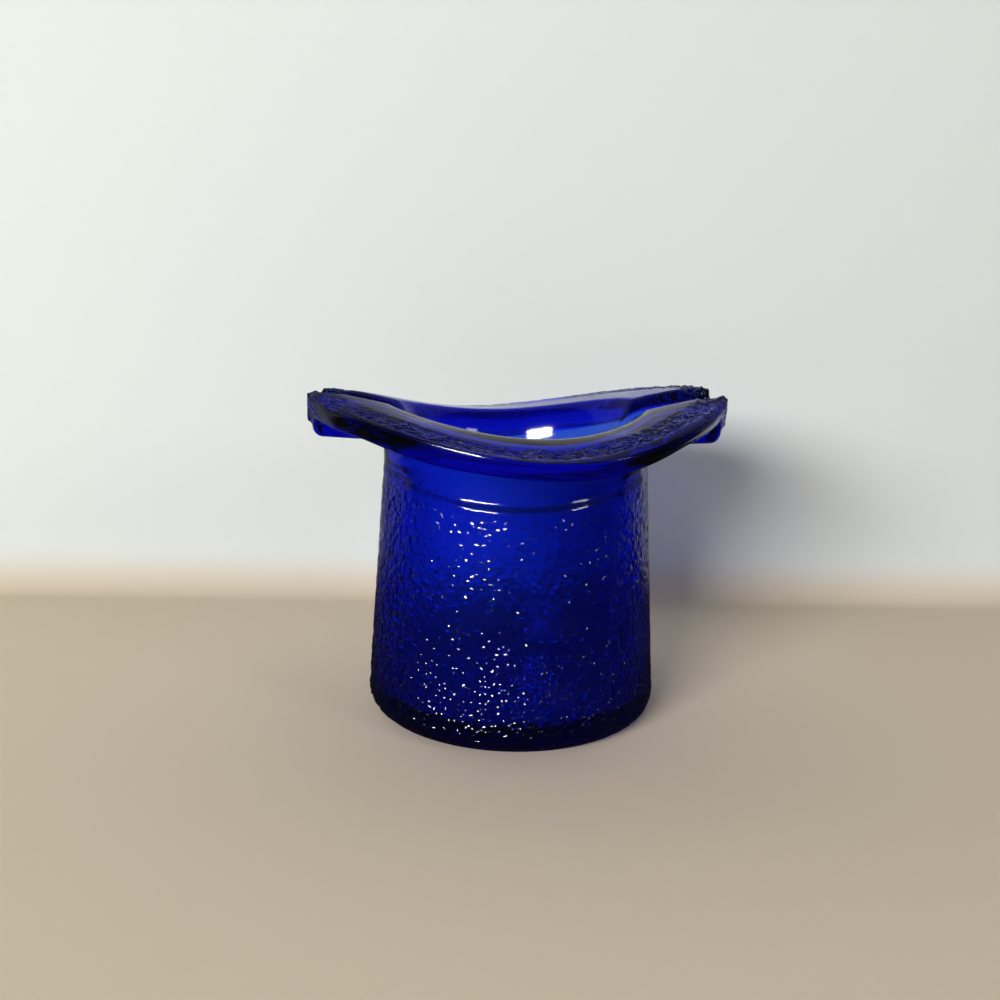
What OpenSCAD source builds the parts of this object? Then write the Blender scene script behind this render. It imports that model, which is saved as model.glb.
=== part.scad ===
// Pressed glass hat: an upturned top hat used as a small holder.
// The hat stands on the flat of its crown and its brim is the rim of the mouth.
// The brim dips at the two flanks, sweeps up at the two ends and is folded there into open spouts.
// Millimetres, +Z up, origin at the centre of the foot, spouts along X.

/* [Foot] */
// Diameter of the crown at the foot, above the rounded heel
foot_d = 57; // [50:0.5:66]
// Thickness of the solid bottom
base_t = 4.6; // [2.5:0.1:8]
// Radius of the rounded heel
heel_round = 4; // [0.5:0.1:5]
// Radius of the rounded corner between the inner floor and the wall
floor_round = 1.2; // [1:0.1:6]

/* [Crown] */
// Height at which the stippled wall ends and the smooth neck begins
wall_top = 48.2; // [30:0.5:70]
// Outer diameter of the neck
neck_d = 51.2; // [46:0.5:60]
// Thickness of the wall and the neck
wall_t = 4.1; // [2.5:0.1:6]
// Height of the smooth neck band under the brim
neck_h = 3.6; // [1.5:0.1:8]

/* [Brim] */
// Diameter of the brim in plan
brim_d = 79.6; // [70:0.5:96]
// Thickness of the brim at the flanks
brim_t = 3.6; // [3:0.1:6]
// Radius of the fillet between the neck and the underside of the brim
neck_fillet = 1; // [0.4:0.1:2.5]
// Height that the left end of the upper side would gain where its sweep levels out
lift_left = 6.5; // [3:0.1:12]
// Height that the right end of the upper side would gain where its sweep levels out
lift_right = 7.4; // [3:0.1:12]
// Height that the left end of the underside would gain where its sweep levels out
under_left = 5.2; // [2.5:0.1:10]
// Height that the right end of the underside would gain where its sweep levels out
under_right = 7.2; // [2.5:0.1:10]
// Distance from the middle at which the sweep would level out
sweep_reach = 45; // [36:0.5:60]
// Turn of the sweep against the spouts, in degrees
sweep_turn = 10; // [-12:1:12]
// Share of the sweep that the flanks lose from the spouts' ridges out to the rim
ridge_fall = 0.18; // [0:0.01:0.4]
// Width of the rounding at the rim of the flanks, seen from above
rim_roll_w = 5; // [1.5:0.1:7]
// Height of the rounding at the upper edge of the flanks' rim
rim_roll_h = 1.5; // [0.5:0.1:2]
// Width of the tighter rounding at the rim of the ends, seen from above
tip_roll_w = 1.8; // [0.5:0.1:5]
// Height of the tighter rounding at the upper edge of the ends
tip_roll_h = 0.9; // [0.3:0.1:2]
// Radius of the rim's lower edge
rim_low_round = 0.7; // [0.2:0.1:1]
// Width of the rounding into the mouth, seen from above
mouth_roll_w = 4; // [1:0.1:6]
// Height of the rounding into the mouth
mouth_roll_h = 2.6; // [1:0.1:3]

/* [Spouts] */
// Width between the two ridges of a spout
spout_w = 16.5; // [10:0.5:24]
// Width of a spout's floor
spout_floor_w = 7; // [3:0.5:9]
// Height that a spout's floor gains at the rim
spout_rise = 1.1; // [0:0.1:3]
// Radius of the lower edge at the end of a spout
spout_low_round = 1.9; // [0.5:0.1:2.4]

/* [Hidden] */
// Colour of the cobalt glass
cobalt = [0.07, 0.09, 0.62];
// Facets of the turned parts
turned_facets = 96;
// Columns of the brim around the mouth
brim_columns = 96;
// How much closer the columns stand at the spouts than on average
column_bias = 0.62;
// Steps of the brim's rounded edges, and of its flats
roll_steps = 6;
fillet_steps = 3;
flat_steps = 4;
inner_steps = 2;

foot_r = foot_d / 2;
neck_r = neck_d / 2;
bore_r = neck_r - wall_t;
rim_r = brim_d / 2;
base_top = base_t + floor_round;
neck_top = wall_top + neck_h;
underside = neck_top + neck_fillet;
brim_level = underside + brim_t;
flare = (foot_r - neck_r) / (wall_top - heel_round);
brim_w = rim_r - bore_r;
// The two roundings may use no more than their share of the brim's width
rim_share = brim_w * 0.4;
mouth_roll = min(mouth_roll_w, brim_w * 0.35);
// Share of the underside's step that lies further out than the upper side's, per thickness
under_offset = brim_t * 0.75;
// Part of the rim's half length over which the rounding tightens towards the ends
tip_start = 0.55;
tip_end = 0.95;

// Outer radius of the crown at height z
function crown_r(z) = neck_r + (wall_top - z) * flare;

// Points of an arc about a centre, from one angle to another
function arc(centre, radius, from, to, steps) =
  [for (i = [0:steps]) let (a = from + (to - from) * i / steps) centre + radius * [cos(a), sin(a)]];

// Smooth step from 0 at a to 1 at b
function ease(a, b, v) = let (t = max(0, min(1, (v - a) / (b - a)))) t * t * (3 - 2 * t);

// Share of the sweep that is left at a distance from the spouts' middle line
function kept(y) = 1 - ridge_fall * ease(spout_w / 2, rim_r, abs(y));

// Height that the turned sweep gives a point of the flank, for the lifts of the two ends
function sweep(x, y, left, right) =
  let (along = x * cos(sweep_turn) + y * sin(sweep_turn))
  (along < 0 ? left : right) * kept(y) * pow(sin(90 * min(1, abs(along) / sweep_reach)), 2);

// Height that a spout's floor gains towards the rim
function spout_climb(x) = spout_rise * pow(x / rim_r, 2);

// How far a point has left the spout: 0 on its floor, 1 on the flank
function beside(y, offset) = ease(spout_floor_w / 2 + offset, spout_w / 2 + offset, abs(y));

// Value between a and b
function blend(a, b, t) = a + (b - a) * t;

// Height of the brim's upper side and of its underside at a point
function top_z(x, y) =
  brim_level + blend(spout_climb(x), sweep(x, y, lift_left, lift_right), beside(y, 0));
function under_z(x, y) =
  underside + blend(spout_climb(x), sweep(x, y, under_left, under_right), beside(y, under_offset));

// Angles of the columns, closer together at the spouts
function column_angle(i) =
  let (u = 360 * i / brim_columns) u - column_bias * sin(2 * u) * 90 / PI;

// One column of the brim: radius and height from the neck, round the rim and back into the mouth
function column(c, s) =
  let (
    tip = ease(tip_start, tip_end, abs(c)),
    rim_roll = min(blend(rim_roll_w, tip_roll_w, tip), rim_share),
    roll_h = blend(rim_roll_h, tip_roll_h, tip),
    low_round = blend(spout_low_round, rim_low_round, beside(rim_r * s, under_offset)),
    rim_start = rim_r - rim_roll,
    mouth_end = bore_r + mouth_roll,
    under_start = neck_r + neck_fillet,
    under_end = rim_r - low_round,
    fillet_z = under_z(under_start * c, under_start * s),
    low_z = under_z(under_end * c, under_end * s),
    lip_z = top_z(bore_r * c, bore_r * s) - mouth_roll_h
  )
  concat(
    [[neck_r, neck_top]],
    arc([under_start, fillet_z - neck_fillet], neck_fillet, 180, 90, fillet_steps),
    [for (i = [1:flat_steps - 1])
      let (r = under_start + (under_end - under_start) * i / flat_steps) [r, under_z(r * c, r * s)]],
    arc([under_end, low_z + low_round], low_round, -90, 0, fillet_steps),
    [for (i = [0:roll_steps])
      let (a = 90 * i / roll_steps, r = rim_start + rim_roll * cos(a))
      [r, top_z(r * c, r * s) - roll_h * (1 - sin(a))]],
    [for (i = [1:flat_steps - 1])
      let (r = rim_start + (mouth_end - rim_start) * i / flat_steps) [r, top_z(r * c, r * s)]],
    [for (i = [0:roll_steps])
      let (a = 90 * i / roll_steps, r = mouth_end - mouth_roll * sin(a))
      [r, top_z(r * c, r * s) - mouth_roll_h * (1 - cos(a))]],
    [for (i = [1:inner_steps]) [bore_r, lip_z + (neck_top - lip_z) * i / inner_steps]]
  );

// Solid bottom with the rounded heel and the hollow's rounded floor
module base() {
  inner_r = crown_r(base_top) - wall_t;
  heel_r = crown_r(heel_round) - heel_round;
  color(cobalt) rotate_extrude($fn = turned_facets) polygon(concat(
    [[0, 0]],
    arc([heel_r, heel_round], heel_round, -90, 0, fillet_steps * 3),
    [[crown_r(base_top), base_top], [inner_r, base_top]],
    arc([inner_r - floor_round, base_top], floor_round, 0, -90, fillet_steps * 3),
    [[0, base_t]]
  ));
}

// Tapered wall of the crown, stippled on the outside
module crown_wall() {
  color(cobalt) rotate_extrude($fn = turned_facets) polygon([
    [crown_r(base_top) - wall_t, base_top],
    [crown_r(base_top), base_top],
    [neck_r, wall_top],
    [bore_r, wall_top]
  ]);
}

// Smooth band between the stippled wall and the brim
module neck_band() {
  color(cobalt) rotate_extrude($fn = turned_facets) polygon([
    [bore_r, wall_top],
    [neck_r, wall_top],
    [neck_r, neck_top],
    [bore_r, neck_top]
  ]);
}

// Swept brim with its two spouts, a closed skin of columns round the mouth
module brim() {
  columns = [for (i = [0:brim_columns - 1])
    let (a = column_angle(i), c = cos(a), s = sin(a))
    [for (p = column(c, s)) [p.x * c, p.x * s, p.y]]];
  rows = len(columns[0]);
  points = [for (one = columns) each one];
  faces = [for (i = [0:brim_columns - 1], j = [0:rows - 1])
    let (
      this = i * rows,
      next = ((i + 1) % brim_columns) * rows,
      k = (j + 1) % rows
    )
    each [[this + j, this + k, next + k], [this + j, next + k, next + j]]];
  color(cobalt) polyhedron(points, faces);
}

base();
crown_wall();
neck_band();
brim();
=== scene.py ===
import math

import bpy
from mathutils import Matrix, Vector


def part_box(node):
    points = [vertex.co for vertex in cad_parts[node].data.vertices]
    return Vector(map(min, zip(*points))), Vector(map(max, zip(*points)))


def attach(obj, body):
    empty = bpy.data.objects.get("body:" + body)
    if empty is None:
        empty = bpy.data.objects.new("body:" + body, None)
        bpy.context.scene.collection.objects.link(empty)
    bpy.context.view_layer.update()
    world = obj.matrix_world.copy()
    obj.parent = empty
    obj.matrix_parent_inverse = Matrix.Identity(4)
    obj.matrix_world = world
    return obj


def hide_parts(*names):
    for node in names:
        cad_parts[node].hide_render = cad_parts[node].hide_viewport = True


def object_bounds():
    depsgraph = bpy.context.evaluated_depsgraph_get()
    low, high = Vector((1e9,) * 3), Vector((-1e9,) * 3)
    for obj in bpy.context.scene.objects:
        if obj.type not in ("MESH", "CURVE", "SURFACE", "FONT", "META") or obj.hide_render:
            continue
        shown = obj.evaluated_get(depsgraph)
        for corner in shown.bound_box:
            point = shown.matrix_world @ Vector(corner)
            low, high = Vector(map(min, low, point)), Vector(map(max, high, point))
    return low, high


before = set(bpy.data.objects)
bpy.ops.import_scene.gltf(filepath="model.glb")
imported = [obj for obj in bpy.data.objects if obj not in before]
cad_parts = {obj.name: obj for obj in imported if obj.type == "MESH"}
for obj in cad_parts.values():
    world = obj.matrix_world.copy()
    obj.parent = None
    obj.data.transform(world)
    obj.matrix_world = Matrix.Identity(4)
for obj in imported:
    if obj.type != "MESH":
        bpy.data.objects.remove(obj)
cadLow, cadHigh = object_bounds()
mm = 0.001
# Nearly all values of a noise texture lie between these two
noiseLow, noiseHigh = 0.3, 0.7
print("frame loaded")


def linearColour(hexText):
    parts = [int(hexText[i : i + 2], 16) / 255 for i in (1, 3, 5)]
    return [p / 12.92 if p <= 0.04045 else ((p + 0.055) / 1.055) ** 2.4 for p in parts] + [1.0]


def addNode(tree, kind, settings={}, inputs={}):
    # Nodes and sockets among the inputs are linked, plain values are set
    node = tree.nodes.new(kind)
    for name, value in settings.items():
        setattr(node, name, value)
    for key, value in inputs.items():
        if isinstance(value, bpy.types.Node):
            value = value.outputs[0]
        if isinstance(value, bpy.types.NodeSocket):
            tree.links.new(value, node.inputs[key])
        else:
            node.inputs[key].default_value = value
    return node


def ease(a, b, v):
    t = max(0.0, min(1.0, (v - a) / (b - a)))
    return t * t * (3 - 2 * t)


def blend(a, b, t):
    return a + (b - a) * t


# Cobalt glass, pressed in a cast mould and fire polished.
# It looks nearly black where it is thick, royal blue through one or two walls, with hard white glints.
glassLook = {
    "surface": "#ffffff",
    "ior": 1.52,
    "absorbColour": "#1ea1f7",
    "absorbPerMm": 0.76,
    "polish": (0.06, 0.11),  # roughness of the smoothest and of the dullest skin
    "wavePitch": 7.0,  # pitches and heights in mm
    "waveHeight": 0.06,
    "finePitch": 1.0,
    "fineHeight": 0.4,
    "fineChance": (0.25, 0.7),  # a pebble is flat below the first and full above the second
    "grainPitch": 0.75,
    "grainHeight": 0.4,
}


def makeGlass(look):
    material = bpy.data.materials.new("cobalt_glass_pressed_fire_polished")
    material.use_nodes = True
    tree = material.node_tree
    tree.nodes.clear()
    place = addNode(tree, "ShaderNodeTexCoord").outputs["Object"]
    stipple = addNode(tree, "ShaderNodeAttribute", {"attribute_name": "stipple"}).outputs["Fac"]
    grain = addNode(tree, "ShaderNodeAttribute", {"attribute_name": "grain"}).outputs["Fac"]
    # Slow waves left by the fire polish
    waveScale = 1 / (look["wavePitch"] * mm)
    wave = addNode(tree, "ShaderNodeTexNoise", {}, {"Vector": place, "Scale": waveScale, "Detail": 1.0})
    waved = addNode(
        tree, "ShaderNodeBump", {}, {"Strength": 1.0, "Distance": look["waveHeight"] * mm, "Height": wave}
    )
    # Small round pebbles ride on the stipple, one glint each, and few of them are tall where it is weak
    fineScale = 1 / (look["finePitch"] * mm)
    fineCell = addNode(tree, "ShaderNodeTexVoronoi", {}, {"Vector": place, "Scale": fineScale})
    pebble = addNode(tree, "ShaderNodeMath", {"operation": "MULTIPLY"}, {0: fineCell, 1: fineCell})
    chance = addNode(
        tree, "ShaderNodeMath", {"operation": "MULTIPLY"}, {0: fineCell.outputs["Color"], 1: stipple}
    )
    flatTo, fullFrom = look["fineChance"]
    fineDepth = addNode(
        tree,
        "ShaderNodeMapRange",
        {},
        {"Value": chance, "From Min": flatTo, "From Max": fullFrom, "To Max": -look["fineHeight"] * mm},
    )
    fined = addNode(
        tree, "ShaderNodeBump", {}, {"Strength": 1.0, "Distance": fineDepth, "Height": pebble, "Normal": waved}
    )
    # Crisp pips along the rim
    grainScale = 1 / (look["grainPitch"] * mm)
    grainCell = addNode(tree, "ShaderNodeTexVoronoi", {}, {"Vector": place, "Scale": grainScale})
    pip = addNode(tree, "ShaderNodeMath", {"operation": "MULTIPLY"}, {0: grainCell, 1: grainCell})
    grainDepth = addNode(
        tree, "ShaderNodeMath", {"operation": "MULTIPLY"}, {0: grain, 1: -look["grainHeight"] * mm}
    )
    pipped = addNode(
        tree, "ShaderNodeBump", {}, {"Strength": 1.0, "Distance": grainDepth, "Height": pip, "Normal": fined}
    )
    smoothest, dullest = look["polish"]
    polish = addNode(
        tree,
        "ShaderNodeMapRange",
        {},
        {"Value": wave, "From Min": noiseLow, "From Max": noiseHigh, "To Min": smoothest, "To Max": dullest},
    )
    shader = addNode(
        tree,
        "ShaderNodeBsdfPrincipled",
        {},
        {
            "Base Color": linearColour(look["surface"]),
            "Roughness": polish,
            "IOR": look["ior"],
            "Transmission Weight": 1.0,
            "Normal": pipped,
        },
    )
    absorb = addNode(
        tree,
        "ShaderNodeVolumeAbsorption",
        {},
        {"Color": linearColour(look["absorbColour"]), "Density": look["absorbPerMm"] / mm},
    )
    addNode(tree, "ShaderNodeOutputMaterial", {}, {"Surface": shader, "Volume": absorb})
    return material


cobaltGlass = makeGlass(glassLook)
print("glass ready")

# The hat as it leaves the mould: a turned body with a flat brim, before the brim is swept and folded.
# Sizes in mm. Pairs are near and far flank, width and height, or the two ends of a fade.
baseHigh, wallHigh, neckHigh, brimHigh = (
    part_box(node)[1] / mm for node in ("base", "crown_wall", "neck_band", "brim")
)
pressing = {
    "wallThick": 4.1,
    "floorThick": 4.6,
    "heelRound": 4.0,
    "floorRound": 1.2,
    "filletRound": 1.0,  # under the brim at its ends
    "flankFillet": (2.0, 7.0),  # under the brim at the middle of the near and the far flank
    "brimThick": 3.6,
    "underShift": 0.75,  # share of it by which the underside's folds lie further out than the upper side's
    "rimRoll": (5.0, 3.0),  # width of the rim's rounding, near and far
    "rimDrop": (2.0, 0.8),  # height of the rim's rounding, near and far
    "tipRoll": (1.8, 0.9),  # width and height of the rounding at the ends
    "tipFade": (0.55, 0.95),
    "dome": (0.35, 0.0),  # fall of the upper side towards the rim, near and far
    "middleDome": (1.05, 0.0),
    "middleFrom": 0.8,
    "domePower": 1.2,
    "farFall": 1.0,
    "flatCrowd": 1.5,  # how much the rows of the upper side crowd towards the rim
    "mouthRoll": (4.0, 10.5),  # width and height of the mouth's flare
    "lowRound": 0.45,
    "lipDrop": 1.2,  # how much lower the rim's lower edge hangs at the middle of a flank
    "lipFade": (0.68, 0.95),
    "undercut": 1.0,
    "undercutFade": (0.85, 0.98),
    "spoutUndercut": 1.0,
    "spoutLowRound": 1.9,
    "spoutWidth": 16.5,
    "spoutFloor": 7.0,
    "neckDip": 4.0,  # how much lower the neck begins at the flanks
    "ledge": 2.1,  # height of the shoulder below the neck
    "ledgeRound": 0.33,
    "ledgeMargin": 0.2,
    "recessFade": 2.0,
    "endRecess": 0.15,  # share of the neck's recess that is left at the ends
    "biteFoot": 1.5,  # strength of the stipple at the foot and below the neck
    "biteTop": 0.62,
    "biteFade": (0.05, 0.5),  # as shares of the wall's height
    "endBite": 1.0,  # how much stronger it is at the ends
    "heelBiteFade": (20.0, 60.0),  # degrees round the heel
    "stippleFade": 0.6,
    "grainBand": 6.6,  # the grained band's inner border, from the rim, at the flanks and at the tips
    "grainBandTip": 5.3,
    "grainTipFrom": 0.75,
    "grainTilt": 0.7,  # how much further in it lies on the right, and further out on the left
    "grainMargin": (1.0, 2.2),  # the band's outer border, from the rim, near left and near right
    "farMargin": 0.7,
    "rightFade": (-0.4, 0.4),
    "grainFade": 0.4,
    "grainEndFade": (0.7, 0.92),  # towards the tips the band reaches the rim, then covers the end face
    "endFaceFade": (0.84, 0.95),
    "grainSpoutGap": 1.0,
    "farGrainLoss": 0.5,
    "farGrainFade": (0.6, 0.9),
    "floorEye": 5.0,  # radius of the innermost ring of the hollow's floor
    "columns": 520,
}
# Rows of faces in each stretch of a column
rings = {
    "foot": 3,
    "heel": 11,
    "wall": 84,
    "ledge": 12,
    "neck": 4,
    "bend": 2,
    "fillet": 5,
    "under": 5,
    "lowEdge": 5,
    "face": 4,
    "roll": 16,
    "flat": 16,
    "mouth": 12,
    "bore": 5,
    "corner": 5,
    "floor": 3,
}
rimR = brimHigh.x
neckR = neckHigh.x
boreR = neckR - pressing["wallThick"]
wallTop = wallHigh.z
wallRise = wallTop - pressing["heelRound"]
footR = neckR + (wallHigh.x - neckR) * wallRise / (wallTop - baseHigh.z)
underside = neckHigh.z + pressing["filletRound"]
brimLevel = underside + pressing["brimThick"]
underOffset = pressing["brimThick"] * pressing["underShift"]


def crownR(z):
    return neckR + (wallTop - z) * (footR - neckR) / wallRise


def spread(a, b, count):
    return [a + (b - a) * i / count for i in range(1, count + 1)]


def quarter(count):
    # Angle, sine and cosine at the steps of a quarter turn
    return [(a, math.sin(math.radians(a)), math.cos(math.radians(a))) for a in spread(0.0, 90.0, count)]


def ramp(t, e):
    # A straight slope from 0 to 1 with rounded ends
    t = max(0.0, min(1.0, t))
    if t < e:
        return t * t / (2 * e * (1 - e))
    if t > 1 - e:
        return 1 - (1 - t) ** 2 / (2 * e * (1 - e))
    return (t - e / 2) / (1 - e)


def pressedColumn(c, s, p):
    # Rows run from the foot up the outside, round the rim and down into the hollow.
    # Each is radius, height, the shares of the upper side's and of the underside's lift,
    # stipple, grain and the neck's recess.
    far, flank = s > 0, abs(s)
    tip = ease(*p["tipFade"], abs(c))
    beside = ease(underOffset + p["spoutFloor"] / 2, underOffset + p["spoutWidth"] / 2, rimR * flank)
    flareW, flareH = p["mouthRoll"]
    mouthEnd = boreR + flareW
    rollW = blend(p["rimRoll"][far], p["tipRoll"][0], tip)
    dome = s * s * blend(p["dome"][far], p["middleDome"][far], ease(p["middleFrom"], 1.0, flank))
    backFall = p["farFall"] * max(0.0, -c) * max(0.0, s)
    lowR = blend(p["spoutLowRound"], p["lowRound"], beside)
    undercut = blend(p["spoutUndercut"], p["undercut"] * (1 - ease(*p["undercutFade"], flank)), beside)
    lowEnd = rimR - lowR - undercut
    heel, corner = p["heelRound"], p["floorRound"]
    fillet = blend(p["filletRound"], p["flankFillet"][far], s if far else s * s)
    neckEnd = underside - fillet
    lip = p["lipDrop"] * ease(*p["lipFade"], flank)
    border = wallTop - p["neckDip"] * s * s
    onRight = ease(*p["rightFade"], c)
    wide = p["grainBand"] + p["grainTilt"] * (2 * onRight - 1)
    band = rimR - blend(wide, p["grainBandTip"], ease(p["grainTipFrom"], 1.0, abs(c)))
    margin = p["farMargin"] if far else blend(*p["grainMargin"], onRight)
    end, endFace = ease(*p["grainEndFade"], abs(c)), ease(*p["endFaceFade"], abs(c))
    bolder = 1 + p["endBite"] * c**4
    rows = []

    def put(r, z, over=0.0, under=0.0, stipple=0.0, grain=0.0, neck=0.0):
        rows.append((r, z, over, under, stipple, grain, neck))

    def outShare(r):
        return max(0.0, (r - mouthEnd) / (rimR - p["rimRoll"][0] - mouthEnd))

    def domed(r):
        # The flanks' upper side falls a little towards the rim
        u = outShare(r)
        return brimLevel - dome * u ** p["domePower"] - backFall * u * u

    def grained(r):
        inSpout = 1 - ease(p["spoutFloor"] / 2, p["spoutWidth"] / 2 + p["grainSpoutGap"], r * flank)
        inner = ease(band - p["grainFade"], band + p["grainFade"], r)
        outer = ease(margin - p["grainFade"], margin + p["grainFade"], rimR - r)
        fainter = 1 - p["farGrainLoss"] * ease(*p["farGrainFade"], s)
        return inner * blend(outer, 1.0, end) * (1 - inSpout) * fainter

    # Foot and heel
    heelR = crownR(heel) - heel
    for r in spread(0.0, heelR, rings["foot"]):
        put(r, 0.0)
    for a, sine, cosine in quarter(rings["heel"]):
        bite = p["biteFoot"] * bolder * ease(*p["heelBiteFade"], a)
        put(heelR + heel * sine, heel * (1 - cosine), stipple=bite)
    # Wall, shoulder and neck
    ledgeFoot, ledgeTop = border - p["ledge"] / 2, border + p["ledge"] / 2
    shoulder = ledgeFoot - p["ledgeMargin"], ledgeTop + p["ledgeMargin"]
    heights = spread(heel, shoulder[0], rings["wall"])
    heights += spread(*shoulder, rings["ledge"])
    heights += spread(shoulder[1], neckEnd, rings["neck"])
    for z in heights:
        recess = ramp((z - ledgeFoot) / p["ledge"], p["ledgeRound"])
        recess *= (1 - ease(neckEnd - p["recessFade"], neckEnd, z)) * blend(p["endRecess"], 1.0, s * s)
        bite = blend(p["biteFoot"], p["biteTop"], ease(*p["biteFade"], z / wallTop)) * bolder
        bite *= 1 - ease(ledgeFoot - p["stippleFade"], ledgeFoot + p["stippleFade"], z)
        put(crownR(min(z, wallTop)), z, stipple=bite, neck=recess)
    # Underside of the brim and the rim's lower edge
    for t in spread(0.0, 1.0, rings["bend"]):
        put(neckR, neckEnd, under=t)
    for a, sine, cosine in quarter(rings["fillet"]):
        put(neckR + fillet * (1 - cosine), underside - fillet * (1 - sine), under=1.0)
    for r in spread(neckR + fillet, lowEnd, rings["under"]):
        put(r, underside - lip * ease(neckR + fillet, lowEnd, r), under=1.0)
    for a, sine, cosine in quarter(rings["lowEdge"]):
        put(lowEnd + lowR * sine, underside - lip + lowR * (1 - cosine), under=1.0)
    # Outer face, rounding and upper side
    rollH = blend(p["rimDrop"][far], p["tipRoll"][1], tip) - dome * outShare(rimR) ** p["domePower"]
    for t in spread(0.0, 1.0, rings["face"]):
        z = blend(underside - lip + lowR, domed(rimR) - rollH, t)
        put(rimR - undercut * (1 - t) ** 2, z, over=t, under=1 - t, grain=endFace)
    for a, sine, cosine in quarter(rings["roll"]):
        r = rimR - rollW * (1 - cosine)
        put(r, domed(r) - rollH * (1 - sine), over=1.0, grain=grained(r))
    for t in spread(0.0, 1.0, rings["flat"]):
        r = rimR - rollW - (rimR - rollW - mouthEnd) * t ** p["flatCrowd"]
        put(r, domed(r), over=1.0, grain=grained(r))
    # The mouth flares slowly, and what lies under the brim takes less and less of its sweep
    for a, sine, cosine in quarter(rings["mouth"]):
        down = flareH * (1 - cosine)
        put(mouthEnd - flareW * sine, brimLevel - down, over=1 - ease(0.0, flareH, down))
    # Hollow
    wallFoot = p["floorThick"] + corner
    inner = crownR(wallFoot) - p["wallThick"] - corner
    for z in spread(brimLevel - flareH, wallFoot, rings["bore"]):
        put(crownR(min(z, wallTop)) - p["wallThick"], z)
    for a, sine, cosine in quarter(rings["corner"]):
        put(inner + corner * cosine, wallFoot - corner * sine)
    for r in spread(inner, p["floorEye"], rings["floor"]):
        put(r, p["floorThick"])
    return rows


def makePressing(p):
    points, faces = [(0.0, 0.0, 0.0)], []
    shares = {"over": [0.0], "under": [0.0], "stipple": [0.0], "grain": [0.0], "neck": [0.0]}
    for i in range(p["columns"]):
        a = 2 * math.pi * i / p["columns"]
        c, s = math.cos(a), math.sin(a)
        rows = pressedColumn(c, s, p)
        for r, z, *rest in rows:
            points.append((r * c * mm, r * s * mm, z * mm))
            for name, value in zip(shares, rest):
                shares[name].append(value)
    count = len(rows)
    top = len(points)
    points.append((0.0, 0.0, p["floorThick"] * mm))
    for name in shares:
        shares[name].append(0.0)
    for i in range(p["columns"]):
        here, there = 1 + i * count, 1 + (i + 1) % p["columns"] * count
        faces.append((0, there, here))
        faces.extend((here + j, there + j, there + j + 1, here + j + 1) for j in range(count - 1))
        faces.append((top, here + count - 1, there + count - 1))
    mesh = bpy.data.meshes.new("hat_glass")
    mesh.from_pydata(points, [], faces)
    for name, values in shares.items():
        mesh.attributes.new(name, "FLOAT", "POINT").data.foreach_set("value", values)
    return mesh


hat = bpy.data.objects.new("hat_glass", makePressing(pressing))
bpy.context.scene.collection.objects.link(hat)
print("pressing made", len(hat.data.polygons), "faces")

# The hot work and the mould's relief: the brim is swept up at its ends and folded into spouts,
# then the skin gets its stipple.
hotWork = {
    "liftLeft": 6.5 * mm,
    "liftRight": 7.4 * mm,
    "underLeft": 5.2 * mm,
    "underRight": 7.2 * mm,
    "sweepReach": 45 * mm,
    "sweepTurn": math.radians(10),
    "flankKept": 0.82,
    "spoutHalf": pressing["spoutWidth"] / 2 * mm,
    "spoutFloorHalf": pressing["spoutFloor"] / 2 * mm,
    "spoutRise": 1.1 * mm,
    "underOffset": underOffset * mm,
    "rimRadius": rimR * mm,
    "stipplePitch": 1.1 * mm,
    "stippleDepth": 0.14 * mm,
    "neckInset": 0.62 * mm,
    "grainPitch": 1.1 * mm,
    "grainDepth": 0.36 * mm,
    "pipFrom": 0.2,  # a pip is whole up to the first and cut to full depth from the second
    "pipTo": 0.75,
    "seed": 7.0,
}


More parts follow.
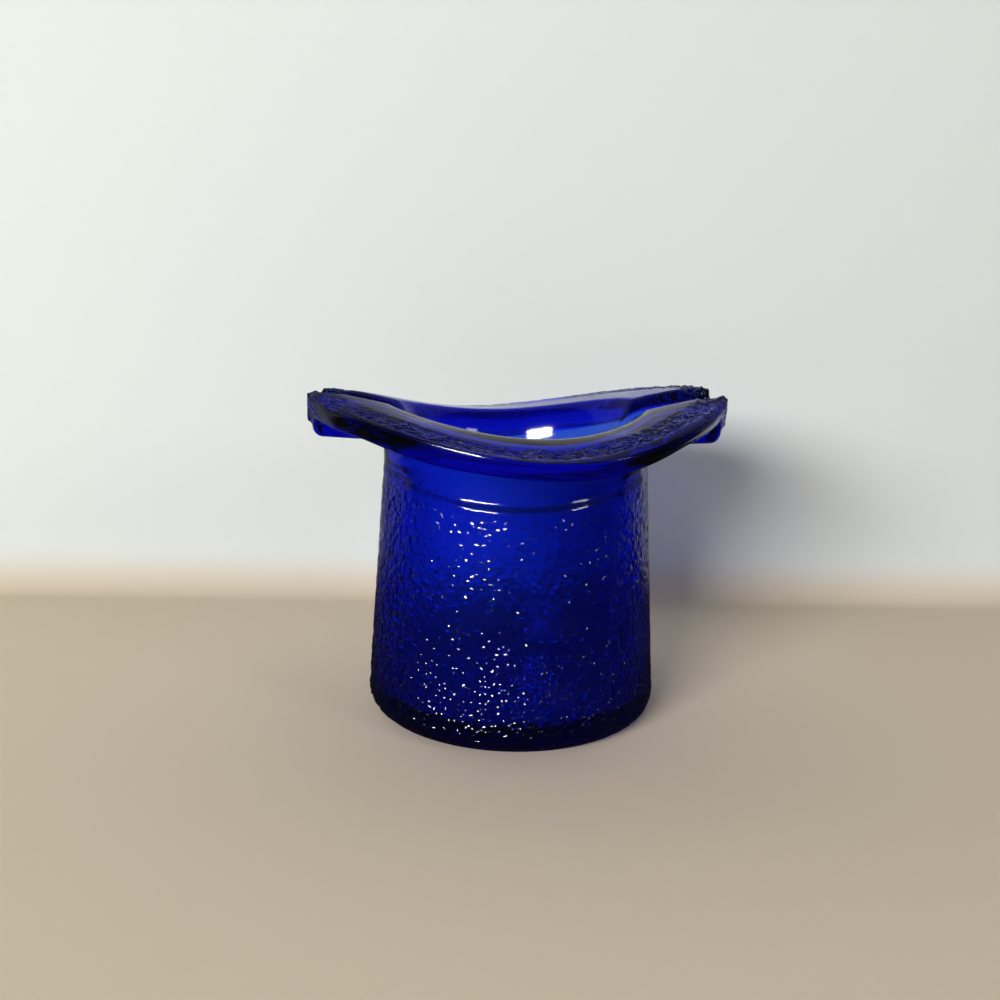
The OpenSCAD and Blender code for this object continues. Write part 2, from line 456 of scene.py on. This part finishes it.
def makeHotWork(values, material):
    tree = bpy.data.node_groups.new("sweep_and_stipple", "GeometryNodeTree")
    tree.interface.new_socket("geometry", in_out="INPUT", socket_type="NodeSocketGeometry")
    tree.interface.new_socket("geometry", in_out="OUTPUT", socket_type="NodeSocketGeometry")
    for name in values:
        tree.interface.new_socket(name, in_out="INPUT", socket_type="NodeSocketFloat")
    given = addNode(tree, "NodeGroupInput").outputs
    share = {
        name: addNode(
            tree, "GeometryNodeInputNamedAttribute", {"data_type": "FLOAT"}, {"Name": name}
        ).outputs["Attribute"]
        for name in ("over", "under", "stipple", "grain", "neck")
    }
    place = addNode(tree, "GeometryNodeInputPosition")
    axes = addNode(tree, "ShaderNodeSeparateXYZ", {}, {0: place}).outputs
    away = addNode(tree, "ShaderNodeMath", {"operation": "ABSOLUTE"}, {0: axes[1]})
    # Sweep along an axis turned a little against the spouts
    turned = addNode(
        tree,
        "ShaderNodeVectorRotate",
        {"rotation_type": "Z_AXIS", "invert": True},
        {"Vector": place, "Angle": given["sweepTurn"]},
    )
    along = addNode(tree, "ShaderNodeSeparateXYZ", {}, {0: turned})
    onLeft = addNode(tree, "ShaderNodeMath", {"operation": "LESS_THAN"}, {0: along, 1: 0.0})
    reach = addNode(tree, "ShaderNodeMath", {"operation": "ABSOLUTE"}, {0: along})
    phase = addNode(
        tree,
        "ShaderNodeMapRange",
        {},
        {"Value": reach, "From Max": given["sweepReach"], "To Max": math.pi / 2},
    )
    sine = addNode(tree, "ShaderNodeMath", {"operation": "SINE"}, {0: phase})
    rise = addNode(tree, "ShaderNodeMath", {"operation": "POWER"}, {0: sine, 1: 2.0})
    kept = addNode(
        tree,
        "ShaderNodeMapRange",
        {"interpolation_type": "SMOOTHSTEP"},
        {
            "Value": away,
            "From Min": given["spoutHalf"],
            "From Max": given["rimRadius"],
            "To Min": 1.0,
            "To Max": given["flankKept"],
        },
    )
    swept = addNode(tree, "ShaderNodeMath", {"operation": "MULTIPLY"}, {0: rise, 1: kept})
    # The spout's floor climbs a little on its own
    out = addNode(tree, "ShaderNodeMath", {"operation": "DIVIDE"}, {0: axes[0], 1: given["rimRadius"]})
    climb = addNode(tree, "ShaderNodeMath", {"operation": "MULTIPLY"}, {0: out, 1: out})
    spout = addNode(tree, "ShaderNodeMath", {"operation": "MULTIPLY"}, {0: climb, 1: given["spoutRise"]})
    sides = (
        ("over", "liftLeft", "liftRight", 0.0),
        ("under", "underLeft", "underRight", given["underOffset"]),
    )
    lifts = []
    for side, left, right, offset in sides:
        most = addNode(tree, "ShaderNodeMix", {}, {"Factor": onLeft, "A": given[right], "B": given[left]})
        flank = addNode(tree, "ShaderNodeMath", {"operation": "MULTIPLY"}, {0: swept, 1: most})
        apart = addNode(tree, "ShaderNodeMath", {"operation": "SUBTRACT"}, {0: away, 1: offset})
        beside = addNode(
            tree,
            "ShaderNodeMapRange",
            {"interpolation_type": "SMOOTHSTEP"},
            {"Value": apart, "From Min": given["spoutFloorHalf"], "From Max": given["spoutHalf"]},
        )
        lift = addNode(tree, "ShaderNodeMix", {}, {"Factor": beside, "A": spout, "B": flank})
        lifts.append(addNode(tree, "ShaderNodeMath", {"operation": "MULTIPLY"}, {0: lift, 1: share[side]}))
    lift = addNode(tree, "ShaderNodeMath", {"operation": "ADD"}, {0: lifts[0], 1: lifts[1]})
    up = addNode(tree, "ShaderNodeCombineXYZ", {}, {"Z": lift})
    bent = addNode(tree, "GeometryNodeSetPosition", {}, {"Geometry": given["geometry"], "Offset": up})
    # Stipple: soft pebbles with winding valleys, cut inwards from the pressed skin
    finer = addNode(tree, "ShaderNodeMath", {"operation": "DIVIDE"}, {0: 1.0, 1: given["stipplePitch"]})
    pebble = addNode(
        tree,
        "ShaderNodeTexNoise",
        {"noise_dimensions": "4D"},
        {"Vector": place, "W": given["seed"], "Scale": finer, "Detail": 0.5},
    )
    pebbled = addNode(
        tree,
        "ShaderNodeMapRange",
        {},
        {"Value": pebble, "From Min": noiseLow, "From Max": noiseHigh, "To Min": 1.0, "To Max": 0.0},
    )
    cut = addNode(tree, "ShaderNodeMath", {"operation": "MULTIPLY"}, {0: pebbled, 1: given["stippleDepth"]})
    stippled = addNode(tree, "ShaderNodeMath", {"operation": "MULTIPLY"}, {0: cut, 1: share["stipple"]})
    recess = addNode(
        tree, "ShaderNodeMath", {"operation": "MULTIPLY"}, {0: given["neckInset"], 1: share["neck"]}
    )
    # Grain: separate coarse pips along the rim
    coarser = addNode(tree, "ShaderNodeMath", {"operation": "DIVIDE"}, {0: 1.0, 1: given["grainPitch"]})
    pip = addNode(
        tree,
        "ShaderNodeTexVoronoi",
        {"voronoi_dimensions": "4D"},
        {"Vector": place, "W": given["seed"], "Scale": coarser},
    )
    pipped = addNode(
        tree,
        "ShaderNodeMapRange",
        {"interpolation_type": "SMOOTHSTEP"},
        {"Value": pip, "From Min": given["pipFrom"], "From Max": given["pipTo"]},
    )
    gouge = addNode(tree, "ShaderNodeMath", {"operation": "MULTIPLY"}, {0: pipped, 1: given["grainDepth"]})
    grained = addNode(tree, "ShaderNodeMath", {"operation": "MULTIPLY"}, {0: gouge, 1: share["grain"]})
    crown = addNode(tree, "ShaderNodeMath", {"operation": "ADD"}, {0: stippled, 1: recess})
    depth = addNode(tree, "ShaderNodeMath", {"operation": "ADD"}, {0: crown, 1: grained})
    inward = addNode(tree, "ShaderNodeMath", {"operation": "MULTIPLY"}, {0: depth, 1: -1.0})
    normal = addNode(tree, "GeometryNodeInputNormal")
    offset = addNode(tree, "ShaderNodeVectorMath", {"operation": "SCALE"}, {0: normal, "Scale": inward})
    skin = addNode(tree, "GeometryNodeSetPosition", {}, {"Geometry": bent, "Offset": offset})
    whole = addNode(tree, "GeometryNodeRealizeInstances", {}, {"Geometry": skin})
    smooth = addNode(tree, "GeometryNodeSetShadeSmooth", {}, {"Geometry": whole})
    done = addNode(tree, "GeometryNodeSetMaterial", {}, {"Geometry": smooth, "Material": material})
    addNode(tree, "NodeGroupOutput", {}, {"geometry": done})
    return tree


def applyTree(piece, tree, values):
    modifier = piece.modifiers.new(tree.name, "NODES")
    modifier.node_group = tree
    for item in tree.interface.items_tree:
        if item.in_out == "INPUT" and item.name in values:
            modifier[item.identifier] = values[item.name]
    shaped = piece.evaluated_get(bpy.context.evaluated_depsgraph_get())
    mesh = bpy.data.meshes.new_from_object(shaped)
    piece.modifiers.remove(modifier)
    mesh.name = piece.name
    piece.data = mesh


applyTree(hat, makeHotWork(hotWork, cobaltGlass), hotWork)
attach(hat, "root")
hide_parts("base", "crown_wall", "neck_band", "brim")
print("hat swept and stippled", sum(len(f.vertices) - 2 for f in hat.data.polygons), "triangles")

# Pale studio: a matt floor, and close behind the hat a matt backdrop that is seen from the front only.
studio = {
    "floorColour": "#d3c4ae",
    "backColour": "#d2d7d5",
    "backDistance": 76 * mm,
    "cove": 12 * mm,
    "coveSteps": 12,
    "reach": 3.0,
    "fadeFrom": 0.35,  # metres from the hat at which the floor starts to take the backdrop's tone
    "fadeTo": 0.9,
    "ambient": 0.04,
    "floorMirrored": 0.05,  # painted reflection: how bright the glass's reflections show the floor, the backdrop and its painted pool of light
    "backMirrored": 0.2,
    "poolMirrored": 0.85,
    "floorThrough": 0.5,  # painted shade: how bright the floor is through the glass
    "poolPlace": (32 * mm, 3 * mm),  # centre of the painted pool of light, along the backdrop and up
    "poolFrom": 70 * mm,
    "poolTo": 98 * mm,
}


def makeSweep(look):
    # Floor, cove and backdrop as one strip
    half, turn, back = look["reach"], look["cove"], look["backDistance"]
    strip = [(-half, 0.0)]
    for i in range(look["coveSteps"] + 1):
        t = math.radians(90 * i / look["coveSteps"])
        strip.append((back - turn * (1 - math.sin(t)), turn * (1 - math.cos(t))))
    strip.append((back, half))
    points = [(x, y, z) for y, z in strip for x in (-half, half)]
    faces = [(2 * i, 2 * i + 1, 2 * i + 3, 2 * i + 2) for i in range(len(strip) - 1)]
    mesh = bpy.data.meshes.new("studio_sweep")
    mesh.from_pydata(points, [], faces)
    for face in mesh.polygons:
        face.use_smooth = True
    sweep = bpy.data.objects.new("studio_sweep", mesh)
    bpy.context.scene.collection.objects.link(sweep)
    return sweep


def makePaper(look):
    # Matt paper, rolled: an even tone without sheen to the camera, with painted shade and a painted pool of
    # light where the glass mirrors it or looks through it
    material = bpy.data.materials.new("matt_studio_paper")
    material.use_nodes = True
    tree = material.node_tree
    tree.nodes.clear()
    path = addNode(tree, "ShaderNodeLightPath").outputs
    place = addNode(tree, "ShaderNodeTexCoord").outputs["Object"]
    axes = addNode(tree, "ShaderNodeSeparateXYZ", {}, {0: place}).outputs
    raised = addNode(
        tree,
        "ShaderNodeMapRange",
        {"interpolation_type": "SMOOTHSTEP"},
        {"Value": axes[2], "From Max": look["cove"]},
    )
    floorTone, backTone = linearColour(look["floorColour"]), linearColour(look["backColour"])
    paper = addNode(
        tree, "ShaderNodeMix", {"data_type": "RGBA"}, {0: raised, 6: floorTone, 7: backTone}
    ).outputs[2]
    # Painted reflection: in the glass's reflections the floor and the backdrop are painted darker, and only a
    # painted pool of light on the backdrop close behind the hat is bright
    alongBack, upBack = look["poolPlace"]
    pool = addNode(
        tree,
        "ShaderNodeVectorMath",
        {"operation": "DISTANCE"},
        {0: place, 1: (alongBack, look["backDistance"], upBack)},
    ).outputs["Value"]
    outside = addNode(
        tree,
        "ShaderNodeMapRange",
        {"interpolation_type": "SMOOTHSTEP"},
        {"Value": pool, "From Min": look["poolFrom"], "From Max": look["poolTo"]},
    )
    paintedPoolLight = addNode(
        tree,
        "ShaderNodeMapRange",
        {},
        {"Value": outside, "To Min": look["poolMirrored"], "To Max": look["backMirrored"]},
    )
    level = addNode(
        tree, "ShaderNodeMapRange", {}, {"Value": raised, "To Min": look["floorMirrored"], "To Max": paintedPoolLight}
    )
    # Painted shade: seen through the glass the floor is darker than it is
    through = addNode(
        tree, "ShaderNodeMapRange", {}, {"Value": raised, "To Min": look["floorThrough"], "To Max": 1.0}
    )
    # A refracted ray counts as glossy too, so a mirrored one is glossy and not transmitted
    mirrored = addNode(
        tree,
        "ShaderNodeMath",
        {"operation": "GREATER_THAN"},
        {0: path["Is Glossy Ray"], 1: path["Is Transmission Ray"]},
    )
    throughGlassShade = addNode(
        tree, "ShaderNodeMix", {}, {"Factor": path["Is Transmission Ray"], "A": 1.0, "B": through}
    )
    # Painted shade through the glass and painted reflection levels together scale the paper's tone
    paintedShadeLevel = addNode(tree, "ShaderNodeMix", {}, {"Factor": mirrored, "A": throughGlassShade, "B": level})
    shown = addNode(tree, "ShaderNodeVectorMath", {"operation": "SCALE"}, {0: paper, "Scale": paintedShadeLevel})
    matt = addNode(tree, "ShaderNodeBsdfDiffuse", {}, {"Color": shown})
    # Far out the floor takes the backdrop's even tone
    outward = addNode(tree, "ShaderNodeVectorMath", {"operation": "LENGTH"}, {0: place}).outputs["Value"]
    fade = addNode(
        tree,
        "ShaderNodeMapRange",
        {"interpolation_type": "SMOOTHSTEP"},
        {"Value": outward, "From Min": look["fadeFrom"], "From Max": look["fadeTo"]},
    )
    seen = addNode(
        tree,
        "ShaderNodeMath",
        {"operation": "MAXIMUM"},
        {0: path["Is Camera Ray"], 1: path["Is Transmission Ray"]},
    )
    evenShare = addNode(tree, "ShaderNodeMath", {"operation": "MULTIPLY"}, {0: fade, 1: seen})
    even = addNode(tree, "ShaderNodeEmission", {}, {"Color": backTone, "Strength": 1.0})
    mixed = addNode(tree, "ShaderNodeMixShader", {}, {0: evenShare, 1: matt, 2: even})
    seeThrough = addNode(tree, "ShaderNodeBsdfTransparent")
    behind = addNode(tree, "ShaderNodeNewGeometry").outputs["Backfacing"]
    oneSided = addNode(tree, "ShaderNodeMixShader", {}, {0: behind, 1: mixed, 2: seeThrough})
    addNode(tree, "ShaderNodeOutputMaterial", {}, {"Surface": oneSided})
    return material


def makeWorld(look):
    world = bpy.data.worlds.new("studio_world")
    bpy.context.scene.world = world
    world.use_nodes = True
    tree = world.node_tree
    tree.nodes.clear()
    path = addNode(tree, "ShaderNodeLightPath").outputs
    # Painted shade in reflections: the glass mirrors the world only as bright as the mirrored floor
    unseen = addNode(
        tree,
        "ShaderNodeMix",
        {},
        {"Factor": path["Is Glossy Ray"], "A": look["ambient"], "B": look["floorMirrored"]},
    )
    seen = addNode(
        tree,
        "ShaderNodeMath",
        {"operation": "MAXIMUM"},
        {0: path["Is Camera Ray"], 1: path["Is Transmission Ray"]},
    )
    strength = addNode(tree, "ShaderNodeMix", {}, {"Factor": seen, "A": unseen, "B": 1.0})
    backTone = linearColour(look["backColour"])
    sky = addNode(tree, "ShaderNodeBackground", {}, {"Color": backTone, "Strength": strength})
    addNode(tree, "ShaderNodeOutputWorld", {}, {"Surface": sky})


sweep = makeSweep(studio)
sweep.data.materials.append(makePaper(studio))
makeWorld(studio)

# Lamps: degrees to the right of the camera's side and up, metres away, metres wide and high, watts.
lamps = {
    "softbox_left": {
        "azimuth": -30,
        "elevation": 17,
        "distance": 1.0,
        "size": (0.48, 0.22),
        "power": 11.0,
        "mirrored": True,
    },
    "softbox_right": {
        "azimuth": 50,
        "elevation": 19,
        "distance": 0.6,
        "size": (0.13, 0.15),
        "power": 0.4,
        "mirrored": True,
    },
    "soft_top": {
        "azimuth": 0,
        "elevation": 75,
        "distance": 0.7,
        "size": (0.5, 0.4),
        "power": 0.25,
        "mirrored": False,
    },
}
aim = Vector((0.0, 0.0, cadHigh.z / 2))
for name, lamp in lamps.items():
    data = bpy.data.lights.new(name, "AREA")
    data.shape = "RECTANGLE"
    data.size, data.size_y = lamp["size"]
    data.energy = lamp["power"]
    a, e = math.radians(lamp["azimuth"]), math.radians(lamp["elevation"])
    back = Vector((math.sin(a) * math.cos(e), -math.cos(a) * math.cos(e), math.sin(e)))
    light = bpy.data.objects.new(name, data)
    light.location = aim + back * lamp["distance"]
    light.rotation_euler = (-back).to_track_quat("-Z", "Y").to_euler()
    light.visible_camera = False
    light.visible_glossy = lamp["mirrored"]
    bpy.context.scene.collection.objects.link(light)

# Camera: close in front and just above the brim. Place in mm, angles in degrees, lens in mm.
cameraView = {
    "x": -7.56,
    "y": -186.82,
    "z": 77.35,
    "heading": 1.436,
    "pitch": 11.019,
    "roll": 1.203,
    "lens": 34.85,
    "sensor": 36.0,
    "clip": 10.0,
}


def makeCamera(view):
    data = bpy.data.cameras.new("camera")
    data.sensor_width, data.lens, data.clip_start = view["sensor"], view["lens"], view["clip"] * mm
    camera = bpy.data.objects.new("camera", data)
    heading, pitch, roll = (math.radians(view[k]) for k in ("heading", "pitch", "roll"))
    forward = Vector(
        (math.sin(heading) * math.cos(pitch), math.cos(heading) * math.cos(pitch), -math.sin(pitch))
    )
    right = Vector((math.cos(heading), -math.sin(heading), 0.0))
    up = right.cross(forward)
    rolledRight = right * math.cos(roll) + up * math.sin(roll)
    rolledUp = up * math.cos(roll) - right * math.sin(roll)
    turn = Matrix((rolledRight, rolledUp, -forward)).transposed().to_4x4()
    place = Vector((view["x"], view["y"], view["z"])) * mm
    camera.matrix_world = Matrix.Translation(place) @ turn
    bpy.context.scene.collection.objects.link(camera)
    bpy.context.scene.camera = camera


makeCamera(cameraView)
bpy.context.scene.view_settings.view_transform = "Standard"
print("studio, lamps and camera set")
